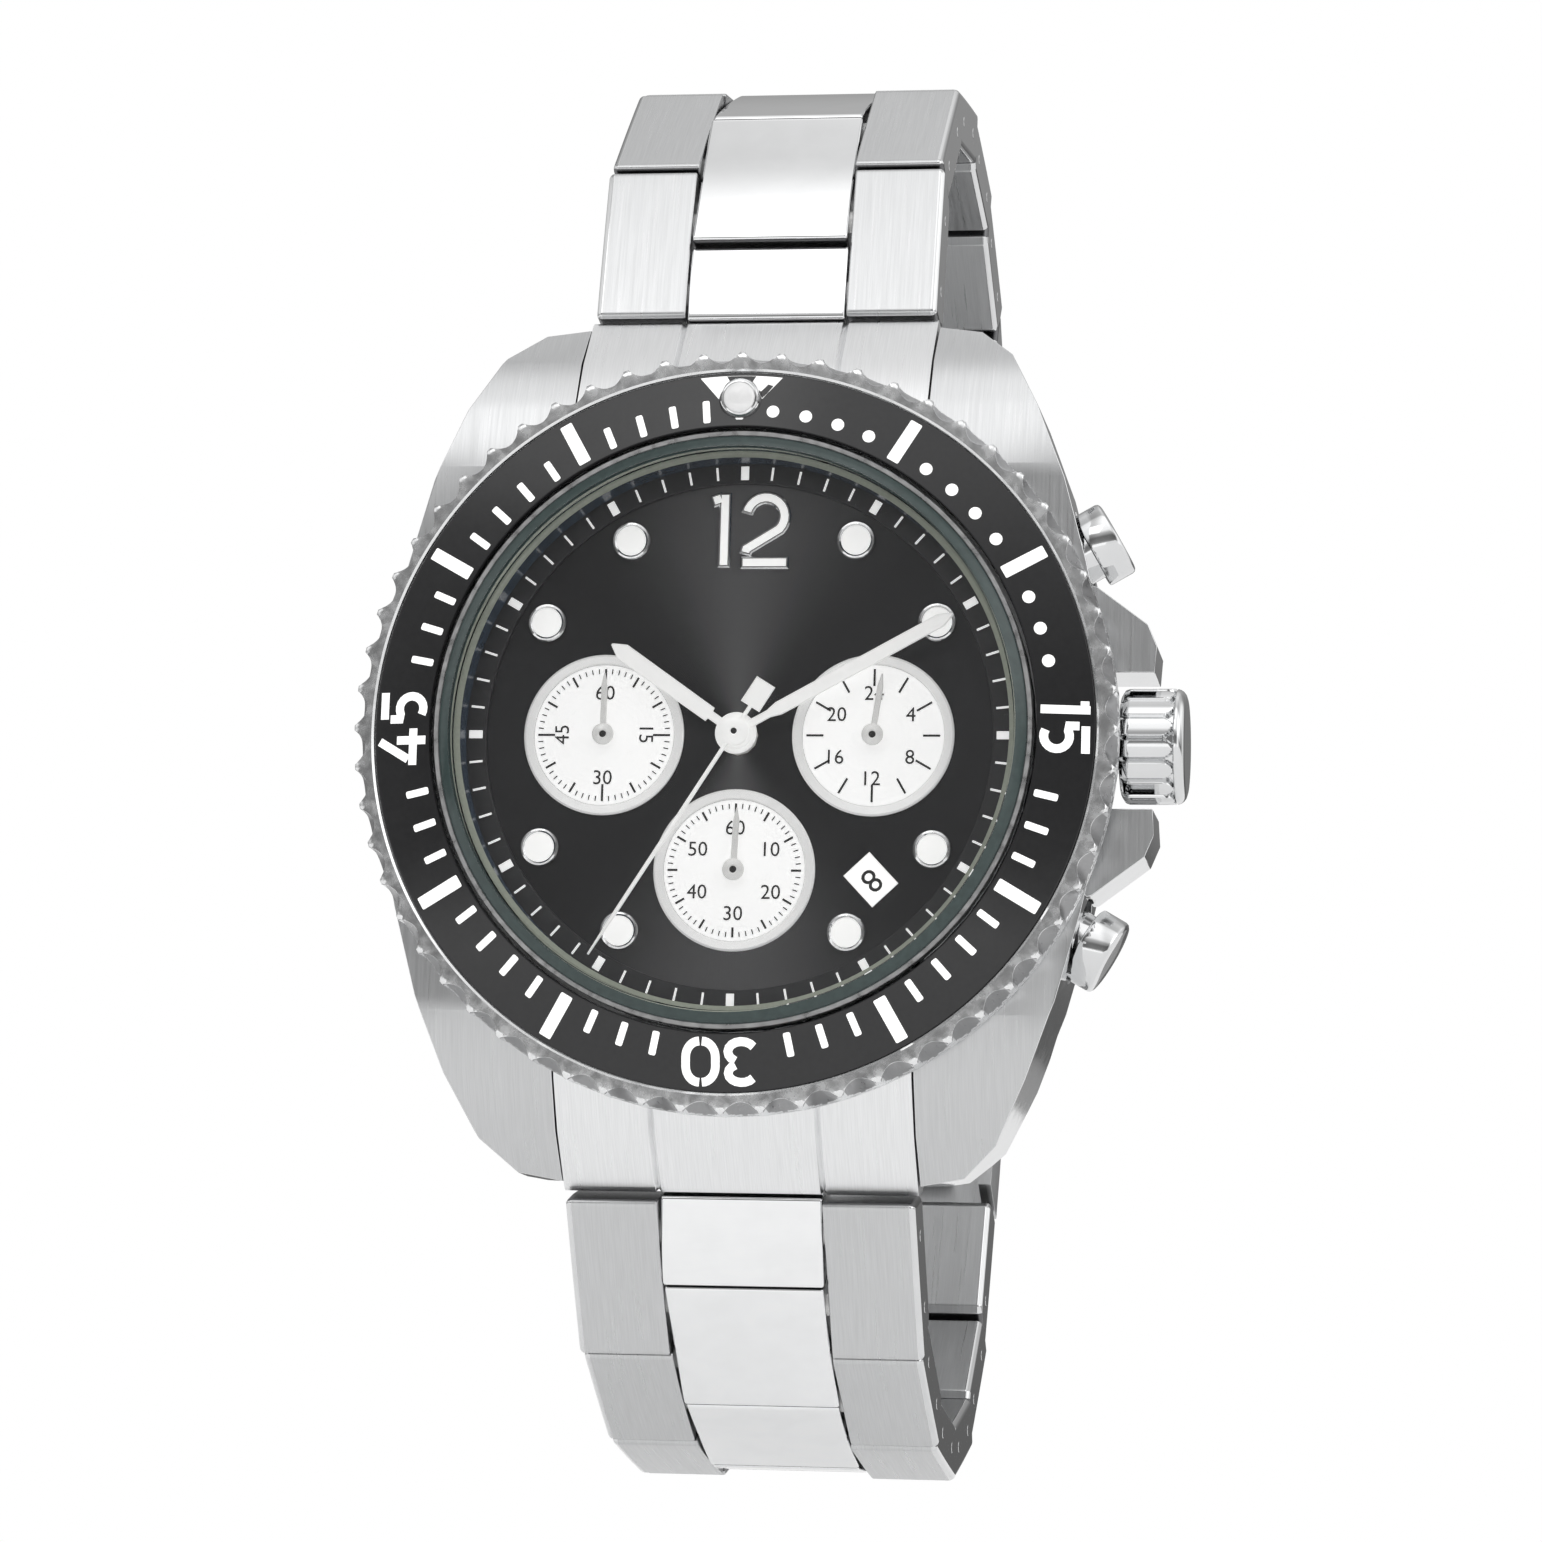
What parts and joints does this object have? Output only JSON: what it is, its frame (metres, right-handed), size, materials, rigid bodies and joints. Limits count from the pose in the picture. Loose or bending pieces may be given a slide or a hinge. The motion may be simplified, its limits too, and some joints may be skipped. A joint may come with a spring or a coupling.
{
  "type": "dive chronograph watch",
  "caption": "Round dive-style chronograph wristwatch with a turning bezel, crown, pushers, hands and a closed three-link steel bracelet with a folding clasp.",
  "frame": {"origin": "centre of the case back, on the axis of the dial", "axes": "+Y out of the case back towards the wrist, so the dial faces -Y; +Z towards twelve o'clock; +X towards the crown"},
  "size_m": [0.0453, 0.0605, 0.0819],
  "materials": {
    "brushed_steel": "fine satin brushing along the links and round the case",
    "polished_steel": "mirror polished steel",
    "crystal_glass": "clear flat watch crystal",
    "black_insert": "gloss black insert with printed white marks",
    "black_ring": "matt black",
    "charcoal_dial": "charcoal with a sunray grain",
    "lume_white": "white luminous paste",
    "white_print": "matt white",
    "white_nylon": "white nylon",
    "black_rubber": "matt black rubber",
    "brass": "machined plates"
  },
  "bodies": {
    "case": {"case_middle": "brushed_steel", "bezel_click_spring": "polished_steel", "case_back": "brushed_steel", "case_back_gasket": "black_rubber", "crystal": "crystal_glass", "crystal_gasket": "white_nylon", "crown_tube": "polished_steel", "dial": "charcoal_dial", "chapter_ring": "black_ring", "movement": "brass", "movement_holder": "white_nylon", "battery": "polished_steel", "end_link_upper": "brushed_steel", "end_link_lower": "brushed_steel", "spring_bar_upper": "polished_steel", "spring_bar_lower": "polished_steel"},
    "bezel": {"bezel_ring": "polished_steel", "bezel_insert": "black_insert", "bezel_pearl": "lume_white"},
    "hour_hand": {"hour_hand": "lume_white"},
    "minute_hand": {"minute_hand": "lume_white"},
    "chrono_seconds_hand": {"chrono_seconds_hand": "polished_steel"},
    "chrono_minutes_hand": {"chrono_minutes_hand": "polished_steel"},
    "running_seconds_hand": {"running_seconds_hand": "polished_steel"},
    "day_hour_hand": {"day_hour_hand": "polished_steel"},
    "date_disc": {"date_disc": "white_print"},
    "setting_sleeve": {"setting_sleeve": "brass"},
    "crown": {"crown": "polished_steel", "crown_stem": "polished_steel"},
    "pusher_upper": {"pusher_upper": "polished_steel"},
    "pusher_lower": {"pusher_lower": "polished_steel"},
    "upper_centre_link_1": {"upper_centre_link_1": "polished_steel"},
    "upper_outer_link_1": {"upper_outer_link_1": "brushed_steel"},
    "upper_centre_link_2": {"upper_centre_link_2": "polished_steel"},
    "upper_outer_link_2": {"upper_outer_link_2": "brushed_steel"},
    "upper_centre_link_3": {"upper_centre_link_3": "polished_steel"},
    "upper_outer_link_3": {"upper_outer_link_3": "brushed_steel"},
    "upper_centre_link_4": {"upper_centre_link_4": "polished_steel"},
    "upper_outer_link_4": {"upper_outer_link_4": "brushed_steel"},
    "upper_centre_link_5": {"upper_centre_link_5": "polished_steel"},
    "upper_outer_link_5": {"upper_outer_link_5": "brushed_steel"},
    "upper_centre_link_6": {"upper_centre_link_6": "polished_steel"},
    "upper_outer_link_6": {"upper_outer_link_6": "brushed_steel"},
    "lower_centre_link_1": {"lower_centre_link_1": "polished_steel"},
    "lower_outer_link_1": {"lower_outer_link_1": "brushed_steel"},
    "lower_centre_link_2": {"lower_centre_link_2": "polished_steel"},
    "lower_outer_link_2": {"lower_outer_link_2": "brushed_steel"},
    "lower_centre_link_3": {"lower_centre_link_3": "polished_steel"},
    "lower_outer_link_3": {"lower_outer_link_3": "brushed_steel"},
    "lower_centre_link_4": {"lower_centre_link_4": "polished_steel"},
    "lower_outer_link_4": {"lower_outer_link_4": "brushed_steel"},
    "lower_centre_link_5": {"lower_centre_link_5": "polished_steel"},
    "lower_outer_link_5": {"lower_outer_link_5": "brushed_steel"},
    "lower_centre_link_6": {"lower_centre_link_6": "polished_steel"},
    "lower_outer_link_6": {"lower_outer_link_6": "brushed_steel"},
    "clasp_inner_blade": {"clasp_inner_blade": "polished_steel"},
    "clasp_middle_blade": {"clasp_middle_blade": "polished_steel"},
    "clasp_cover": {"clasp_cover": "brushed_steel"},
    "clasp_button_left": {"clasp_button_left": "polished_steel"},
    "clasp_button_right": {"clasp_button_right": "polished_steel"}
  },
  "joints": [
    {"name": "bezel_turn", "type": "hinge", "parent": "case", "child": "bezel", "pos_m": [0, 0, 0], "axis": [0, 1, 0], "continuous": true},
    {"name": "minute_hand_turn", "type": "hinge", "parent": "case", "child": "minute_hand", "pos_m": [0, -0.008, 0], "axis": [0, 1, 0], "continuous": true},
    {"name": "hour_hand_turn", "type": "hinge", "parent": "case", "child": "hour_hand", "pos_m": [0, -0.008, 0], "axis": [0, 1, 0], "continuous": true},
    {"name": "day_hour_hand_turn", "type": "hinge", "parent": "case", "child": "day_hour_hand", "pos_m": [0.00745, -0.0076, 0], "axis": [0, 1, 0], "continuous": true},
    {"name": "chrono_seconds_turn", "type": "hinge", "parent": "case", "child": "chrono_seconds_hand", "pos_m": [0, -0.0086, 0], "axis": [0, 1, 0], "continuous": true},
    {"name": "chrono_minutes_turn", "type": "hinge", "parent": "case", "child": "chrono_minutes_hand", "pos_m": [-0.00745, -0.0076, 0], "axis": [0, 1, 0], "continuous": true},
    {"name": "running_seconds_turn", "type": "hinge", "parent": "case", "child": "running_seconds_hand", "pos_m": [0, -0.0076, -0.00745], "axis": [0, 1, 0], "continuous": true},
    {"name": "date_disc_turn", "type": "hinge", "parent": "case", "child": "date_disc", "pos_m": [0, -0.0066, 0], "axis": [0, 1, 0], "continuous": true},
    {"name": "crown_pull", "type": "slide", "parent": "case", "child": "setting_sleeve", "axis": [1, 0, 0], "range_m": [0, 0.0012]},
    {"name": "crown_turn", "type": "hinge", "parent": "setting_sleeve", "child": "crown", "pos_m": [0.022, -0.0043, 0], "axis": [1, 0, 0], "continuous": true},
    {"name": "pusher_upper_press", "type": "slide", "parent": "case", "child": "pusher_upper", "axis": [-0.866, 0, -0.5], "range_m": [0, 0.001], "stiffness_N_per_m": 800, "springref_m": -0.0008},
    {"name": "pusher_lower_press", "type": "slide", "parent": "case", "child": "pusher_lower", "axis": [-0.866, 0, 0.5], "range_m": [0, 0.001], "stiffness_N_per_m": 800, "springref_m": -0.0008},
    {"name": "upper_centre_link_1_pin", "type": "hinge", "parent": "case", "child": "upper_centre_link_1", "pos_m": [0, -0.0017, 0.0218], "axis": [1, 0, 0], "range_deg": [0, 3]},
    {"name": "upper_outer_link_1_pin", "type": "hinge", "parent": "upper_centre_link_1", "child": "upper_outer_link_1", "pos_m": [0, -0.00066, 0.02669], "axis": [1, 0, 0], "range_deg": [0, 5]},
    {"name": "upper_centre_link_2_pin", "type": "hinge", "parent": "upper_outer_link_1", "child": "upper_centre_link_2", "pos_m": [0, 0.00053, 0.03113], "axis": [1, 0, 0], "range_deg": [0, 18]},
    {"name": "upper_outer_link_2_pin", "type": "hinge", "parent": "upper_centre_link_2", "child": "upper_outer_link_2", "pos_m": [0, 0.0029, 0.03508], "axis": [1, 0, 0], "range_deg": [0, 20]},
    {"name": "upper_centre_link_3_pin", "type": "hinge", "parent": "upper_outer_link_2", "child": "upper_centre_link_3", "pos_m": [0, 0.00637, 0.03809], "axis": [1, 0, 0], "range_deg": [0, 19]},
    {"name": "upper_outer_link_3_pin", "type": "hinge", "parent": "upper_centre_link_3", "child": "upper_outer_link_3", "pos_m": [0, 0.01057, 0.03997], "axis": [1, 0, 0], "range_deg": [0, 18]},
    {"name": "upper_centre_link_4_pin", "type": "hinge", "parent": "upper_outer_link_3", "child": "upper_centre_link_4", "pos_m": [0, 0.01513, 0.04061], "axis": [1, 0, 0], "range_deg": [0, 14]},
    {"name": "upper_outer_link_4_pin", "type": "hinge", "parent": "upper_centre_link_4", "child": "upper_outer_link_4", "pos_m": [0, 0.01972, 0.04029], "axis": [1, 0, 0], "range_deg": [0, 12]},
    {"name": "upper_centre_link_5_pin", "type": "hinge", "parent": "upper_outer_link_4", "child": "upper_centre_link_5", "pos_m": [0, 0.02418, 0.03917], "axis": [1, 0, 0], "range_deg": [0, 11]},
    {"name": "upper_outer_link_5_pin", "type": "hinge", "parent": "upper_centre_link_5", "child": "upper_outer_link_5", "pos_m": [0, 0.02841, 0.03737], "axis": [1, 0, 0], "range_deg": [0, 11]},
    {"name": "upper_centre_link_6_pin", "type": "hinge", "parent": "upper_outer_link_5", "child": "upper_centre_link_6", "pos_m": [0, 0.03232, 0.03494], "axis": [1, 0, 0], "range_deg": [0, 12]},
    {"name": "upper_outer_link_6_pin", "type": "hinge", "parent": "upper_centre_link_6", "child": "upper_outer_link_6", "pos_m": [0, 0.03573, 0.03186], "axis": [1, 0, 0], "range_deg": [0, 12]},
    {"name": "lower_centre_link_1_pin", "type": "hinge", "parent": "case", "child": "lower_centre_link_1", "pos_m": [0, -0.0017, -0.0218], "axis": [-1, 0, 0], "range_deg": [0, 3]},
    {"name": "lower_outer_link_1_pin", "type": "hinge", "parent": "lower_centre_link_1", "child": "lower_outer_link_1", "pos_m": [0, -0.00024, -0.02658], "axis": [-1, 0, 0], "range_deg": [0, 20]},
    {"name": "lower_centre_link_2_pin", "type": "hinge", "parent": "lower_outer_link_1", "child": "lower_centre_link_2", "pos_m": [0, 0.0024, -0.03035], "axis": [-1, 0, 0], "range_deg": [0, 18]},
    {"name": "lower_outer_link_2_pin", "type": "hinge", "parent": "lower_centre_link_2", "child": "lower_outer_link_2", "pos_m": [0, 0.00598, -0.03324], "axis": [-1, 0, 0], "range_deg": [0, 13]},
    {"name": "lower_centre_link_3_pin", "type": "hinge", "parent": "lower_outer_link_2", "child": "lower_centre_link_3", "pos_m": [0, 0.01004, -0.0354], "axis": [-1, 0, 0], "range_deg": [0, 11]},
    {"name": "lower_outer_link_3_pin", "type": "hinge", "parent": "lower_centre_link_3", "child": "lower_outer_link_3", "pos_m": [0, 0.01439, -0.0369], "axis": [-1, 0, 0], "range_deg": [0, 12]},
    {"name": "lower_centre_link_4_pin", "type": "hinge", "parent": "lower_outer_link_3", "child": "lower_centre_link_4", "pos_m": [0, 0.01893, -0.03762], "axis": [-1, 0, 0], "range_deg": [0, 13]},
    {"name": "lower_outer_link_4_pin", "type": "hinge", "parent": "lower_centre_link_4", "child": "lower_outer_link_4", "pos_m": [0, 0.02353, -0.03746], "axis": [-1, 0, 0], "range_deg": [0, 14]},
    {"name": "lower_centre_link_5_pin", "type": "hinge", "parent": "lower_outer_link_4", "child": "lower_centre_link_5", "pos_m": [0, 0.02799, -0.03635], "axis": [-1, 0, 0], "range_deg": [0, 14]},
    {"name": "lower_outer_link_5_pin", "type": "hinge", "parent": "lower_centre_link_5", "child": "lower_outer_link_5", "pos_m": [0, 0.03213, -0.03433], "axis": [-1, 0, 0], "range_deg": [0, 14]},
    {"name": "lower_centre_link_6_pin", "type": "hinge", "parent": "lower_outer_link_5", "child": "lower_centre_link_6", "pos_m": [0, 0.03575, -0.0315], "axis": [-1, 0, 0], "range_deg": [0, 14]},
    {"name": "lower_outer_link_6_pin", "type": "hinge", "parent": "lower_centre_link_6", "child": "lower_outer_link_6", "pos_m": [0, 0.03871, -0.02798], "axis": [-1, 0, 0], "range_deg": [0, 14]},
    {"name": "clasp_strand_pin", "type": "hinge", "parent": "upper_outer_link_6", "child": "clasp_inner_blade", "pos_m": [0, 0.03857, 0.02823], "axis": [1, 0, 0], "range_deg": [0, 5]},
    {"name": "clasp_blade_fold", "type": "hinge", "parent": "clasp_inner_blade", "child": "clasp_middle_blade", "pos_m": [0, 0.04203, -0.0181], "axis": [-1, 0, 0], "range_deg": [0, 130]},
    {"name": "clasp_cover_fold", "type": "hinge", "parent": "clasp_middle_blade", "child": "clasp_cover", "pos_m": [0, 0.04053, 0.02353], "axis": [1, 0, 0], "range_deg": [0, 130]},
    {"name": "clasp_button_left_press", "type": "slide", "parent": "clasp_cover", "child": "clasp_button_left", "axis": [1, 0, 0], "range_m": [0, 0.0006], "stiffness_N_per_m": 600, "springref_m": -0.0005},
    {"name": "clasp_button_right_press", "type": "slide", "parent": "clasp_cover", "child": "clasp_button_right", "axis": [-1, 0, 0], "range_m": [0, 0.0006], "stiffness_N_per_m": 600, "springref_m": -0.0005}
  ],
  "couplings": [
    {"joint": "hour_hand_turn", "follows": "minute_hand_turn", "ratio": 0.083333},
    {"joint": "day_hour_hand_turn", "follows": "minute_hand_turn", "ratio": 0.041667},
    {"joint": "chrono_minutes_turn", "follows": "chrono_seconds_turn", "ratio": 0.016667},
    {"joint": "clasp_cover_fold", "follows": "clasp_blade_fold", "ratio": 1}
  ]
}
